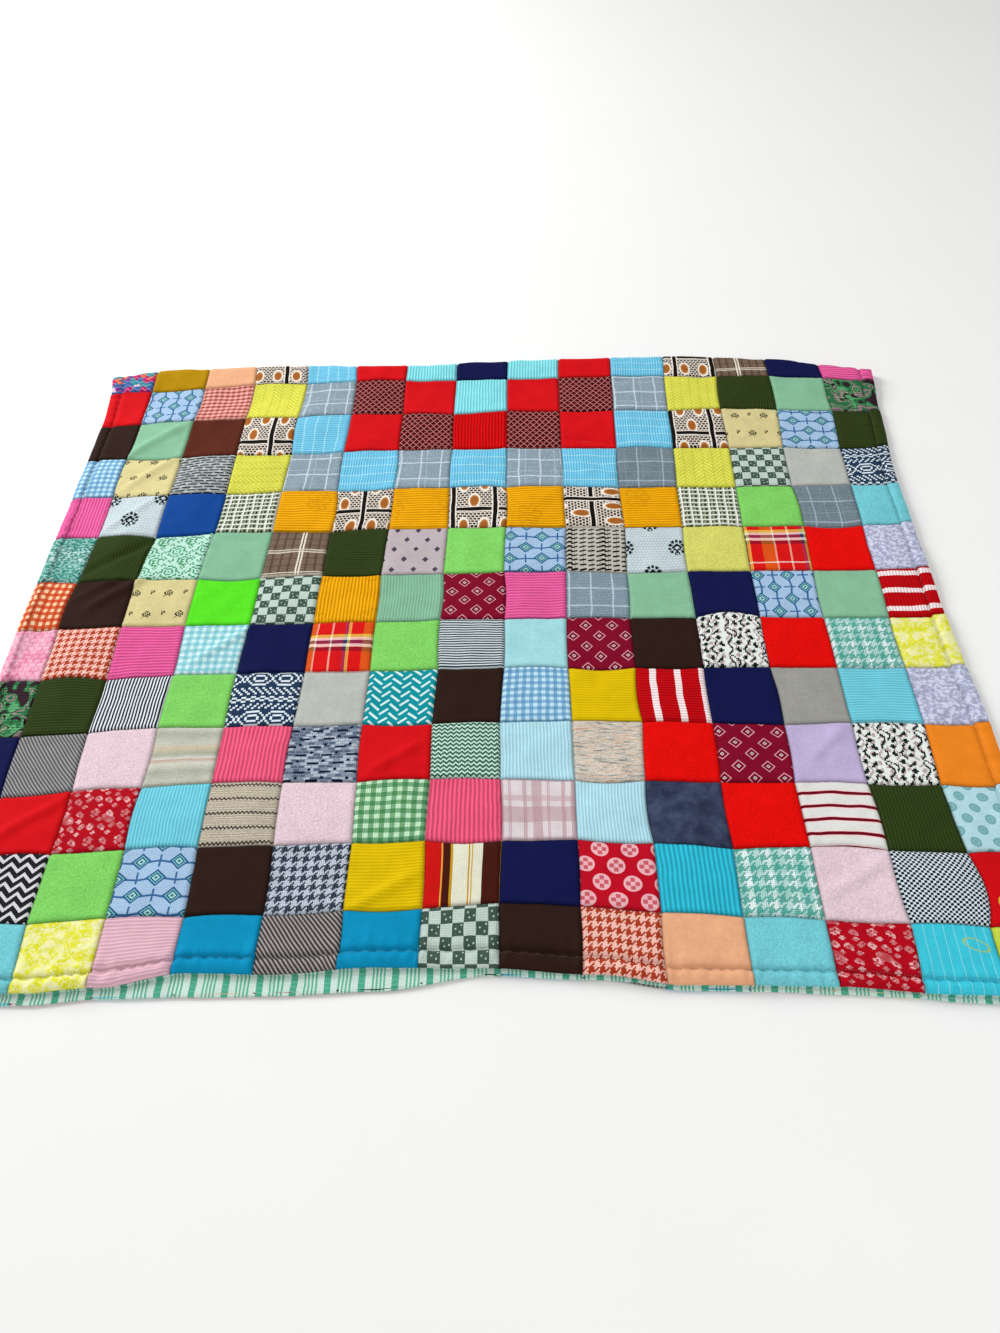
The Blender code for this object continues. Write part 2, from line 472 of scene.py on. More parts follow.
def bandsOver(tree, uv, layer):
    # straight or zigzag bands; "along" is the direction they repeat in
    along, period = layer["along"], layer["period"]
    way = (along[0] / period, along[1] / period, 0)
    place = addNode(tree, "VectorMath", uv, way, operation="DOT_PRODUCT")
    place = addNode(tree, "Math", place.outputs["Value"], -layer.get("start", 0.0) / period, operation="ADD")
    if "zig" in layer:
        width, height = layer["zig"]
        beside = addNode(tree, "VectorMath", uv, (along[1], along[0], 0), operation="DOT_PRODUCT")
        tooth = addNode(tree, "Math", beside.outputs["Value"], width, operation="PINGPONG")
        place = addNode(tree, "Math", tooth, height / width / period, place, operation="MULTIPLY_ADD")
    share = addNode(tree, "Math", place, operation="FRACT")
    ramp = addNode(tree, "ValToRGB", share, stops=layer["stops"], fade=layer.get("fade", "CONSTANT"))
    return ramp.outputs["Color"], ramp.outputs["Alpha"]


def cellPlace(tree, uv, layer):
    # mm from the middle of the nearest cell; staggered rows move half a cell
    width, height = layer["cell"]
    across, along = layer.get("at", (0, 0))
    cells = addNode(tree, "VectorMath", uv, (1 / width, 1 / height, 0),
                    (0.5 - across / width, 0.5 - along / height, 0), operation="MULTIPLY_ADD")
    parts = addNode(tree, "SeparateXYZ", cells)
    x, y = parts.outputs["X"], parts.outputs["Y"]
    if layer.get("stagger"):
        row = addNode(tree, "Math", y, operation="FLOOR")
        odd = addNode(tree, "Math", row, 2.0, operation="FLOORED_MODULO")
        x = addNode(tree, "Math", odd, 0.5, x, operation="MULTIPLY_ADD")
    x = addNode(tree, "Math", x, operation="FRACT")
    y = addNode(tree, "Math", y, operation="FRACT")
    x = addNode(tree, "Math", x, width, -width / 2, operation="MULTIPLY_ADD")
    y = addNode(tree, "Math", y, height, -height / 2, operation="MULTIPLY_ADD")
    if layer.get("turn"):
        turned = addNode(tree, "CombineXYZ", x, y)
        turned = addNode(tree, "Mapping", turned, None, (0, 0, math.radians(layer["turn"])))
        parts = addNode(tree, "SeparateXYZ", turned)
        x, y = parts.outputs["X"], parts.outputs["Y"]
    return x, y


def ringsOver(tree, uv, layer):
    # rounds, diamonds or boxes about the middle of each cell, coloured by share of their size
    x, y = cellPlace(tree, uv, layer)
    x = addNode(tree, "Math", x, 0.9 / layer["size"][0], operation="MULTIPLY")
    y = addNode(tree, "Math", y, 0.9 / layer["size"][1], operation="MULTIPLY")
    shape = layer.get("shape", "round")
    if shape == "round":
        away = addNode(tree, "CombineXYZ", x, y)
        away = addNode(tree, "VectorMath", away, operation="LENGTH").outputs["Value"]
    else:
        x = addNode(tree, "Math", x, operation="ABSOLUTE")
        y = addNode(tree, "Math", y, operation="ABSOLUTE")
        away = addNode(tree, "Math", x, y, operation="ADD" if shape == "diamond" else "MAXIMUM")
    ramp = addNode(tree, "ValToRGB", away, stops=[(0.9 * place, colour) for place, colour in layer["stops"]])
    return ramp.outputs["Color"], ramp.outputs["Alpha"]


def chartOver(tree, uv, layer):
    # a knitter's chart: each column of marks is packed into one number on a ramp
    rows = layer["chart"].split()
    width, height, stitch = len(rows[0]), len(rows), layer["stitch"]
    x, y = cellPlace(tree, uv, {"cell": (stitch * width, stitch * height), **layer})
    columns = []
    for column in range(width):
        marks = sum(2.0 ** -(row + 1) for row in range(height) if rows[row][column] == "#")
        columns.append((column / width, marks + 1e-9))
    share = addNode(tree, "Math", x, 1 / (width * stitch), 0.5, operation="MULTIPLY_ADD")
    packed = addNode(tree, "ValToRGB", share, stops=columns).outputs["Alpha"]
    row = addNode(tree, "Math", y, -1 / stitch, height / 2, operation="MULTIPLY_ADD")
    row = addNode(tree, "Math", row, operation="FLOOR")
    row = addNode(tree, "Clamp", row, -1.0, float(height))
    row = addNode(tree, "Math", row, 1.0, operation="ADD")
    power = addNode(tree, "Math", 2.0, row, operation="POWER")
    marks = addNode(tree, "Math", packed, power, operation="MULTIPLY")
    marks = addNode(tree, "Math", marks, operation="FLOOR")
    return layer["colour"], addNode(tree, "Math", marks, 2.0, operation="FLOORED_MODULO")


def mottleOver(tree, uv, layer):
    # soft irregular blotches
    wide, tall = layer.get("stretch", (1, 1))
    size = layer["size"]
    place = addNode(tree, "VectorMath", uv, (1 / (size * wide), 1 / (size * tall), 1), operation="MULTIPLY")
    cloud = addNode(tree, "TexNoise", place, 1.0, layer.get("detail", 2.0), 0.6)
    ramp = addNode(tree, "ValToRGB", cloud, stops=layer["stops"], fade=layer.get("fade", "LINEAR"))
    return ramp.outputs["Color"], ramp.outputs["Alpha"]


def shardsOver(tree, uv, layer):
    # irregular cells of flat colour
    cells = addNode(tree, "TexVoronoi", uv, 1 / layer["size"])
    tint = addNode(tree, "SeparateXYZ", cells.outputs["Color"])
    ramp = addNode(tree, "ValToRGB", tint, stops=layer["stops"])
    return ramp.outputs["Color"], ramp.outputs["Alpha"]


def bricksOver(tree, uv, layer):
    # rows of dashes of uneven tone
    wide, tall = layer["dash"]
    dashes = addNode(tree, "TexBrick", uv, "#ffffff", "#000000", "#bbbbbb",
                     {"Scale": 1.0, "Mortar Size": layer["gap"], "Mortar Smooth": 0.3,
                      "Brick Width": wide, "Row Height": tall}, offset=0.37)
    ramp = addNode(tree, "ValToRGB", dashes.outputs["Color"], stops=layer["stops"])
    return ramp.outputs["Color"], ramp.outputs["Alpha"]


painters = {"bands": bandsOver, "rings": ringsOver, "chart": chartOver, "mottle": mottleOver,
            "shards": shardsOver, "bricks": bricksOver}

# How each knit or weave stands up: ridges as (period across, period along) in mm with a height
# in mm, fuzz as a size and height in mm, and tone: how strongly that relief is painted into the
# colour as painted light and shade (for the slub knit also its heathered yarn).
# Real stitches are 1 to 1.5 mm; they are drawn up to twice as coarse so that they show.
knits = {
    "fine": {"ridges": [((2.8, 0), 0.05), ((0, 2.4), 0.05)], "fuzz": (3.0, 0.12), "tone": 0.22},
    "smooth": {"ridges": [], "fuzz": (5.0, 0.10), "tone": 0.15},
    "crepe": {"ridges": [], "fuzz": (3.0, 0.55), "tone": 0.40},
    "twill": {"ridges": [((4.0, 3.6), 0.16)], "fuzz": (3.0, 0.08), "tone": 0.42},
    "rib": {"ridges": [((5.0, 0), 0.38)], "fuzz": (3.4, 0.16), "tone": 0.42},
    "fineRib": {"ridges": [((4.2, 0), 0.20)], "fuzz": (3.0, 0.06), "tone": 0.36},
    "boldRib": {"ridges": [((5.4, 0), 0.50)], "fuzz": (3.0, 0.08), "tone": 0.34},
    "woven": {"ridges": [((2.6, 0), 0.07), ((0, 2.6), 0.07)], "fuzz": (2.4, 0.12), "tone": 0.45},
    "slub": {"ridges": [((0, 3.0), 0.05)], "fuzz": (1.8, 0.20), "tone": 1.0},
}


# What all the cloths share: how far the threads wander (mm) and at what scale, uneven fading as
# its spread and least value, the shade down in a seam, and the finish of the yarn.
yarn = {"sway": 3.0, "swayScale": 32.0, "wear": (0.24, 0.88), "wearScale": 60.0, "seamShade": 0.5,
        "bump": 0.8, "roughness": 0.82, "sheenRoughness": 0.5, "gloss": 0.06}


def makeCloth(name, cloth):
    material, tree = emptyMaterial(name)
    flat = addNode(tree, "UVMap", uv_map="patchUV")
    inMm = addNode(tree, "Mapping", flat, None, (0, 0, math.radians(cloth.get("turn", 0))), (1000, 1000, 1))
    spot = addNode(tree, "TexCoord").outputs["Object"]
    sway = addNode(tree, "TexNoise", spot, yarn["swayScale"], 1.0).outputs["Color"]
    sway = addNode(tree, "VectorMath", sway, (0.5, 0.5, 0.5), operation="SUBTRACT")
    sway = addNode(tree, "VectorMath", sway, yarn["sway"] * cloth.get("wobble", 1.0), operation="SCALE")
    uv = addNode(tree, "VectorMath", inMm, sway, operation="ADD")

    colour, raised = cloth["ground"], None
    for layer in cloth.get("layers", ()):
        paint, cover = painters[layer["paint"]](tree, uv, layer)
        if layer.get("lift"):
            raised = addNode(tree, "Math", cover, layer["lift"], raised or 0.0, operation="MULTIPLY_ADD")
        if layer.get("opacity", 1.0) < 1.0:
            cover = addNode(tree, "Math", cover, layer["opacity"], operation="MULTIPLY")
        colour = addNode(tree, "Mix", cover, colour, paint, data_type="RGBA")

    knit = knits[cloth["knit"]]
    size, strength = knit["fuzz"]
    fuzz = addNode(tree, "TexNoise", uv, 1 / size, 2.0, 0.7)
    height = addNode(tree, "Math", fuzz, 2 * strength, -strength, operation="MULTIPLY_ADD")
    total = strength
    for (across, along), strength in knit["ridges"]:
        way = (2 * math.pi / across if across else 0, 2 * math.pi / along if along else 0, 0)
        wave = addNode(tree, "VectorMath", uv, way, operation="DOT_PRODUCT").outputs["Value"]
        wave = addNode(tree, "Math", wave, operation="SINE")
        height = addNode(tree, "Math", wave, strength, height, operation="MULTIPLY_ADD")
        total += strength
    # painted light and shade of the stitches (for the slub knit also its heathered yarn), uneven
    # fading, and painted shade down in the seams and the hem's valley
    # painted light and shade of the stitches: the colour follows the height of their relief
    tone = addNode(tree, "Math", height, knit["tone"] * cloth.get("toneShare", 1.0) / total, 1.0,
                   operation="MULTIPLY_ADD")
    wear = addNode(tree, "TexNoise", spot, yarn["wearScale"], 3.0)
    wear = addNode(tree, "Math", wear, *yarn["wear"], operation="MULTIPLY_ADD")
    # painted shade: darkens the colour down in the seams and the hem's valley
    shade = addNode(tree, "Attribute", attribute_name="seamShade").outputs["Fac"]
    shade = addNode(tree, "Math", shade, -yarn["seamShade"], 1.0, operation="MULTIPLY_ADD")
    tone = addNode(tree, "Math", tone, wear, operation="MULTIPLY")
    tone = addNode(tree, "Math", tone, shade, operation="MULTIPLY")
    if isinstance(colour, str):
        colour = hexColour(colour)[:3]
    colour = addNode(tree, "VectorMath", colour, tone, operation="SCALE")
    if raised:
        height = addNode(tree, "Math", height, raised, operation="ADD")
    bump = addNode(tree, "Bump", yarn["bump"], 0.001, None, height)
    shader = addNode(tree, "BsdfPrincipled", {
        "Base Color": colour, "Roughness": yarn["roughness"], "Normal": bump,
        "Sheen Weight": cloth.get("sheen", 0.0), "Sheen Roughness": yarn["sheenRoughness"],
        "Specular IOR Level": yarn["gloss"]})
    addNode(tree, "OutputMaterial", shader)
    return material


acrossWay, alongWay = (1, 0), (0, 1)


def fabric(ground, knit, layers=(), **more):
    return {"ground": ground, "knit": knit, "layers": layers, **more}


def bands(along, period, stops, opacity=1.0, **more):
    return {"paint": "bands", "along": along, "period": period, "stops": stops, "opacity": opacity, **more}


def stripe(along, period, colour, share, opacity=1.0, **more):
    return bands(along, period, [(0, colour), (share, None)], opacity, **more)


def motif(cell, size, stops, shape="round", **more):
    # a single colour fills the whole motif
    if isinstance(stops, str):
        stops = [(0, stops), (1, None)]
    return {"paint": "rings", "cell": cell, "size": size, "stops": stops, "shape": shape, **more}


def chart(name, stitch, colour, **more):
    return {"paint": "chart", "chart": charts[name], "stitch": stitch, "colour": colour, **more}


def mottle(size, stops, **more):
    return {"paint": "mottle", "size": size, "stops": stops, **more}


def bricks(dash, gap, stops):
    return {"paint": "bricks", "dash": dash, "gap": gap, "stops": stops}


def shards(size, stops):
    return {"paint": "shards", "size": size, "stops": stops}


def gingham(period, colour, opacity=0.58):
    return [stripe(way, period, colour, 0.5, opacity) for way in (acrossWay, alongWay)]


def pane(period, colour, wide, start=0.0, opacity=0.75):
    # thin crossing lines, a little farther apart along the cloth
    return [stripe(way, period * stretch, colour, wide / period, opacity, start=start)
            for way, stretch in ((acrossWay, 1), (alongWay, 1.1))]


# Charts of the small figures, one mark to a stitch, rows from the top
charts = {
    "hound": "####..## ####.##. ######.. #####..# ##...... #..#.... ..##.... .##.....",
    "check":
        "########........ ########........ ##.#####........ ########........ ######.#........ "
        "###.####........ ########........ ########........ ........######## ........######.# "
        "........######## ........##.##### ........######## ........#####.## ........######## "
        "........########",
    "spade":
        "........... .....#..... ....###.... ...#####... ..#######.. ..##.#.##.. .....#..... ....###.... "
        "...........",
    "rose":
        "........... ....###.... ...#..##... ..#.##..#.. .##.#.#.##. .##.#.###.. ..##.##.##. ...###.#... "
        "..#...##... .#......... ...........",
    "bud": "....... ..##... .#.##.. .#.#... ..##... ...##.. .......",
    "sprig":
        ".......##....... ....##.##.##.... ...###.##.###... ....##....##.... ..##...##...##.. "
        ".####.####.####. ..##.######.##.. ....###..###.... .##.##....##.##. .###.##..##.###. "
        "..#..######..#.. ...##..##..##... ..###..##..###.. ...##.####.##... ......#..#...... "
        "......##.#......",
    "chain":
        "...######.......######.. ..#......#.....#......#. .#..####..#.#.#..####..# "
        "#..#....#..#.#..#....#.. #..#....#..#.#..#....#.. .#..####..#.#.#..####..# "
        "..#......#.....#......#. ...######.......######.. ........................ "
        "#..#..#..#..#..#..#..#.. .#..#..#..#..#..#..#..#. ..#..#..#..#..#..#..#..# "
        "#..#..#..#..#..#..#..#.. ........................ .##..##..##..##..##..##. "
        "#..##..##..##..##..##..# .##..##..##..##..##..##. ........................ "
        "..#..#..#..#..#..#..#..# .#..#..#..#..#..#..#..#. #..#..#..#..#..#..#..#.. "
        "........................",
    "vine":
        "..##......##........ .#..#....###....#... .#...##...##...##... ..#...##......###... "
        "..##...#.....##..... ...##..#..#......... ....#.##.##....##... ....#.#.###...####.. "
        "...##...##.....##... ..##..........#..... .##....##....##..#.. .#....####...#..##.. "
        ".#.....##....#..###. ..#.........#....##. ..##...#...##....... ...#..##..##....#... "
        "...#..###..#...###.. ..##...##..##..##... .##.........##...... .#...........#......",
    "blooms":
        "....##.............. ..##.##......##..... ..##.###....####.... ....###.....##.##... "
        "..##.##......####... ...##..........##... .......##........... ......####....##.... "
        ".......##....####... ..............##.... ..##.............##. .####....##.....##.# "
        ".##.##..####...####. ..####..##.##...##.. ...##....####....... ...........##....... "
        "......#........##... .....###......####.. ......#........##... ....................",
    "outline":
        ".....###.....#.. ...##...##..#.#. ..#..###..#..#.. ..#.#...#.#..... .##.#.#.#.##...# "
        "#...#...#...#.#. ..#..###..#...#. ..##.....##.##.. ....##.##......# .#....#....###.. "
        "#.#......##...## .#....#..#.##.#. ....#.#..#.#..#. .....#...#.##.#. ..#.......##...# "
        ".#.#.......####.",
    "wheel": "...##... ...##... .##..##. .##..##. ...##... ...##...",
    "flower":
        "......###...... .....#...#..... ..##.#...#.##.. .#..##...##..#. .#....#.#....#. ..##...#...##.. "
        "....#.#.#.#.... ...#...#...#... ..#...#.#...#.. ..#...#.#...#.. ...###...###...",
    "tick": "##.. ##.. ..## ..##",
}

# The cloths: mostly polyester double-knits of one weight, some printed and some woven.
# Plain cloths by their knit, as name and colour.
plainCloths = {
    # piece-dyed double-knit with a close even face: flat strong colour, hardly any shine
    "fine": "red #d90f18 navy #10164a mustard #b68a00 royal #124a9c chestnut #592516 darkBrown #2f1c15 "
            "mint #8ac09d cerulean #0a93c2 citron #cfe04e",
    # brushed tricot, a smooth thin face: soft folds
    "smooth": "neonGreen #5ce826 taupe #9f9e99 paleAqua #a6dfe6",
    # crepe knit with a pebbled face: broken small lights
    "crepe": "lime #84d767 orangeRed #ea0a06 paleYellow #dbdb6e aqua #78d0dc pinkCrepe #ebd1db",
    # twill-faced double-knit: fine diagonal lines
    "twill": "brownTwill #301d17",
    # ribbed double-knit, ribs 5 mm apart running up the cloth: soft stripes of light
    "rib": "redRib #cd0206 hotPinkRib #ea5f9f",
    # the same with ribs 4.2 mm apart and half as high
    "fineRib": "greenRib #2e3e17",
    # the same with deeper ribs, 5.4 mm apart
    "boldRib": "coralRib #ef5a7e",
}

cloths = {
    # brushed tricot with a faint bloom
    "peach": fabric("#efb188", "smooth", sheen=0.06),
    "lightGrey": fabric("#bcbfb9", "smooth", sheen=0.05),
    "lilac": fabric("#c2b3da", "smooth", sheen=0.05),
    # twill-faced double-knit with faint lines
    "tangerine": fabric("#f88d24", "twill", toneShare=0.4),
    # ribbed double-knit on which the ribs show faintly; turned, they run across
    "gold": fabric("#e2c004", "fineRib", turn=90, toneShare=0.4),
    "rosePink": fabric("#e6b8c7", "fineRib", turn=90, toneShare=0.5),
    "skyRib": fabric("#72cfe2", "fineRib", toneShare=0.7),
    "paleBlueRib": fabric("#b2e0ee", "fineRib", toneShare=0.6),
    "mintRib": fabric("#86bb9c", "fineRib", toneShare=0.5),
    "aquaRib": fabric("#88e2ec", "rib", toneShare=0.6),
    "turquoiseRib": fabric("#2fbcd8", "boldRib", toneShare=0.8),
    # blister knits, a raised figure in the cloth's own colour: it shows only by its shade, so the figure's
    # lines are drawn darker as painted shade and sunk by their lift
    "yellowKey": fabric("#eaea5e", "fine", layers=[
        stripe(alongWay, 7.6, "#c2c134", 0.34, 0.6, zig=(15, 15), lift=-0.6),
        stripe(acrossWay, 15, "#c6c538", 0.12, 0.4, lift=-0.4)]),
    "orangeFlower": fabric("#eda605", "rib", turn=90, layers=[
        chart("flower", 3.3, "#d18f00", cell=(89, 89), at=(44, 44), opacity=0.4, lift=-0.5)]),
    # window-grid double-knit: pale lines every 18 mm on fine ribs
    "skyGrid": fabric("#74c8ea", "fineRib", wobble=1.8, toneShare=0.8, layers=[
        stripe(alongWay, 18.5, "#b4ebfe", 0.1, 0.85, lift=0.5),
        stripe(acrossWay, 18.5, "#a4e2fa", 0.06, 0.35)]),
    # heathered slub cloth with drawn pale threads: a dusty broken ground
    "slubPane": fabric("#90a3b0", "slub", wobble=1.6,
                       layers=pane(34, "#d5e4ee", 2.4) + pane(47, "#bccdd9", 1.6, 11, 0.5)),
    "slubPaneDark": fabric("#76858f", "slub", wobble=1.4,
                           layers=pane(38, "#aebecb", 2.2) + pane(26, "#9babb8", 1.2, 7, 0.4)),
    "slubPaneBlue": fabric("#8398a5", "slub", layers=pane(31, "#c6d5de", 2.4)),
    # jacquard double-knits
    "spadeLattice": fabric("#a0212a", "fine", layers=[
        stripe((0.62, 0.52), 6.6, "#cf8b88", 0.12),
        stripe((0.62, -0.52), 6.6, "#cf8b88", 0.12),
        chart("spade", 1.2, "#120707", cell=(10.65, 12.69), at=(6.0, 0)),
        chart("spade", 1.2, "#120707", cell=(10.65, 12.69), at=(0.7, 6.3))]),
    "blueDiamond": fabric("#a9c8e8", "woven", toneShare=0.8, layers=[
        stripe(alongWay, 22, "#3a6a9e", 0.12, start=-1.3, zig=(23, 3)),
        motif((46, 22), (1.2, 8), "#3a6a9e", "box", at=(23, 0), stagger=True),
        motif((46, 22), (12, 11), [(0, "#2f7d8a"), (0.2, "#b5e0dc"), (0.4, "#2b6d84"), (0.62, "#7fc0cc"),
              (0.76, "#2b5a8c"), (1, None)], "diamond", stagger=True)]),
    "checkDot": fabric("#c6d7ce", "woven", toneShare=0.7, layers=[chart("check", 1.7, "#455b50")]),
    "aztecChain": fabric("#213a58", "fine", wobble=0.8, layers=[chart("chain", 3.0, "#e6f2f8")]),
    "maroonDiamond": fabric("#840929", "fine", layers=[
        motif((36, 17.5), (9.0, 9.0), [(0, "#23060e"), (0.14, "#f4d3da"), (0.3, "#23060e"),
              (0.42, "#840929"), (0.8, "#eab2bf"), (0.96, None)], "diamond", stagger=True)]),
    "houndRed": fabric("#f9c4b6", "woven", toneShare=0.6, layers=[chart("hound", 1.35, "#b03c20")]),
    "houndNavy": fabric("#c6d0de", "woven", layers=[
        chart("hound", 1.58, "#26303f"),
        stripe(acrossWay, 3.0, "#7f8ba0", 0.4, 0.25)]),
    "navyCheck": fabric("#d9e6ee", "fine", layers=[chart("tick", 1.5, "#0d1826")]),
    "tealLace": fabric("#e8f8f7", "woven", layers=[
        stripe(acrossWay, 25, "#3fae9f", 0.62, 0.4),
        stripe(alongWay, 31, "#3fae9f", 0.5, 0.25),
        chart("hound", 1.7, "#0f9c8c", opacity=0.8)]),
    "lilacDiamond": fabric("#c3b6bb", "twill", layers=[
        motif((31, 19), (4.4, 5.2), "#4f4456", "diamond", stagger=True)]),
    "wheels": fabric("#c20c24", "fine", layers=[
        motif((35, 22.5), (10.4, 10.4), "#f2b8bf", stagger=True),
        chart("wheel", 2.6, "#cf5f6b", cell=(35, 22.5), stagger=True)]),
    "herringbone": fabric("#0c96a2", "fine", wobble=0.6, layers=[
        motif((25, 14), (7.6, 1.6), "#e0f6f6", "box", turn=40),
        motif((25, 14), (7.0, 1.5), "#e0f6f6", "box", turn=-40, at=(12.5, 7.0))]),
    # checks woven or knitted in two colours, half-tones where one band crosses the ground
    "redGingham": fabric("#fbb8ac", "woven", layers=[
        stripe(acrossWay, 9.6, "#a8352a", 0.5, 0.42),
        stripe(alongWay, 9.6, "#a8352a", 0.5, 0.66),
        motif((9.6, 9.6), (2.4, 1.3), "#561915", "box", at=(2.4, 2.4), opacity=0.7)]),
    "skyGingham": fabric("#c6ecfd", "fine", layers=gingham(10.2, "#458cc0", 0.62)),
    "aquaGingham": fabric("#d6f7fa", "crepe", layers=gingham(11.2, "#55b8c8", 0.52)),
    "greenGingham": fabric("#c8eecb", "woven", layers=gingham(12.7, "#127c34", 0.66)),
    "orangeGingham": fabric("#fbd3a8", "woven", layers=gingham(11.6, "#cd3b02", 0.86)),
    "pinkFoam": fabric("#ea82a8", "crepe", layers=[
        motif((12, 7.5), (4.4, 3.0), "#fbd3e1", "box", stagger=True, opacity=0.55),
        mottle(20, [(0.45, "#f9c9da"), (0.6, "#e0709a")], opacity=0.35)]),
    "mauvePlaid": fabric("#e2d8dc", "woven", toneShare=0.5, layers=[
        bands(acrossWay, 46, [(0, "#b98f98"), (0.1, None), (0.24, "#b98f98"), (0.5, None),
              (0.62, "#c7a3ab"), (0.7, None)], 0.6),
        bands(alongWay, 60, [(0, "#b98f98"), (0.36, None), (0.5, "#c7a3ab"), (0.64, None)], 0.55)]),
    "brownPlaid": fabric("#7a6656", "slub", layers=[
        stripe(acrossWay, 13, "#4c3b2e", 0.28, 0.65),
        stripe(alongWay, 13, "#4c3b2e", 0.22, 0.4),
        bands(acrossWay, 58, [(0, "#f2e9da"), (0.04, None), (0.075, "#f2e9da"), (0.12, None)], 0.95),
        bands(alongWay, 44, [(0, "#e6dccb"), (0.06, None), (0.1, "#e6dccb"), (0.15, None)], 0.75)]),
    "madras": fabric("#d9303a", "woven", wobble=0.8, layers=[
        bands(acrossWay, 84, [(0, "#e01414"), (0.16, "#e8801c"), (0.36, "#fff0d8"), (0.39, "#e01414"),
              (0.62, "#fff0d8"), (0.65, "#d8141c"), (0.84, "#2a3f74"), (0.9, "#f3e56a"),
              (0.95, "#e01414")]),
        bands(alongWay, 92, [(0, "#e01414"), (0.26, "#5c0c2c"), (0.34, "#fff4ec"), (0.4, "#1c2c60"),
              (0.47, "#fff4ec"), (0.52, "#f0d95a"), (0.58, "#e01414"), (0.86, "#fff4ec"),
              (0.89, "#e01414")], 0.58)]),
    "basketPlaid": fabric("#9fa793", "woven", wobble=1.6, layers=[
        stripe(alongWay, 9.6, "#7f8a5e", 0.3, 0.8, start=1.2),
        motif((13, 9.6), (1.5, 3.4), "#2b3120", "box", at=(3.2, 0)),
        motif((13, 9.6), (1.0, 3.0), "#4d4a3a", "box", at=(-2.6, 0)),
        stripe(acrossWay, 13, "#eef2e8", 0.2, 0.95, start=-6.5),
        stripe(alongWay, 9.6, "#f0f4ea", 0.26, 0.95, start=-4.8)]),
    # striped knits
    "blackStripe": fabric("#dbe8ee", "fine", wobble=0.9, toneShare=0.5, layers=[
        stripe(alongWay, 4.3, "#2a343c", 0.52)]),
    "navyStripe": fabric("#f4fbff", "fine", wobble=0.8, toneShare=0.5, layers=[
        stripe(acrossWay, 4.35, "#1a2839", 0.56)]),
    "redStripe": fabric("#bf040e", "fineRib", turn=90, layers=[
        stripe(alongWay, 32, "#fbe6e8", 0.27, lift=0.8)]),
    "redPinstripe": fabric("#e6e6e3", "fine", wobble=1.2, layers=[
        bands(alongWay, 18.6, [(0, "#f6dcdc"), (0.08, "#a01226"), (0.13, "#660a1c"), (0.27, "#a01226"),
              (0.32, "#f6dcdc"), (0.4, None)])]),
    "wideStripe": fabric("#e9e8d2", "fine", wobble=0.5, layers=[
        bands(acrossWay, 96, [(0, "#d01512"), (0.2, "#dcb74a"), (0.215, "#d01512"), (0.225, "#47190f"),
              (0.31, "#c9971d"), (0.34, "#e9e8d2"), (0.53, "#c9971d"), (0.55, "#e9e8d2"),
              (0.57, "#d2a93a"), (0.585, "#e9e8d2"), (0.7, "#47190f"), (0.92, "#c9971d"),
              (0.94, "#e9e8d2")])]),
    "sageStriate": fabric("#bfc0b2", "slub", toneShare=0.5, wobble=1.4, layers=[
        bands(alongWay, 58, [(0, "#b1b5a3"), (0.2, "#d9d8cc"), (0.3, "#c3a593"), (0.33, "#dad9ce"),
              (0.45, "#a9ae9b"), (0.62, "#cfc3a8"), (0.75, "#c8cabd"),
              (1, "#b1b5a3")], 0.9, fade="LINEAR")]),
    "spaceDye": fabric("#c6bfb3", "crepe", layers=[
        mottle(2.4, [(0.3, "#6f747e"), (0.42, "#bdb6aa"), (0.53, "#e2dcd0"), (0.62, "#dca983"),
              (0.7, "#93a6b4")], stretch=(10, 0.9), detail=3.0)]),
    "diagonal": fabric("#a3a2a4", "fine", layers=[stripe((0.8, 0.6), 3.7, "#58565a", 0.5)]),
    "diagonalBrown": fabric("#a9a4a1", "fine", wobble=0.8, layers=[
        stripe((0.8, 0.6), 3.9, "#433c3b", 0.55)]),
    "zigzag": fabric("#dcdee2", "woven", layers=[stripe(alongWay, 12.5, "#222226", 0.6, zig=(10.2, 9.5))]),
    "beigeZigzag": fabric("#c6bba9", "slub", layers=[
        stripe(alongWay, 20, "#1d1916", 0.13, zig=(2.6, 2.6)),
        stripe(alongWay, 4.0, "#8f8475", 0.25, 0.5, zig=(2.0, 1.2))]),
    "greenTweed": fabric("#cfeade", "woven", layers=[
        stripe(alongWay, 6.6, "#27664f", 0.54, zig=(3.8, 3.8))]),
    "greyDash": fabric("#c4c1b6", "woven", layers=[
        stripe(acrossWay, 12.4, "#8f8b7e", 0.12, 0.6),
        motif((12.4, 8.6), (5.0, 1.5), "#15110d", "box", turn=-14),
        motif((49.6, 8.6), (3.4, 2.0), "#15110d", "box", at=(6, 2))]),
    "brokenDash": fabric("#cdd3d4", "woven", layers=[
        bricks((9, 3.0), 0.5, [(0, "#8b9192"), (0.4, "#a7adae"), (0.7, None)]),
        motif((18, 6.2), (7.2, 1.3), "#1f2325", "box", stagger=True)]),
    "navyDash": fabric("#8d99a9", "woven", layers=[
        bricks((8.5, 4.6), 0.6, [(0, "#56647a"), (0.4, "#8491a3"), (0.6, "#b7c2cf")]),
        motif((31, 13), (7.0, 1.6), "#101a38", "box", stagger=True),
        motif((31, 13), (2.1, 2.1), "#101a38", at=(12, 4), stagger=True)]),
    # printed cottons and knits
    "blackRose": fabric("#dbcf95", "smooth", layers=[
        chart("rose", 1.45, "#1f1a14", cell=(46, 40), stagger=True),
        chart("bud", 1.5, "#1f1a14", cell=(46, 40), at=(23, 3), turn=40, stagger=True)]),
    "blackSprig": fabric("#b9c9cf", "smooth", toneShare=0.8, layers=[
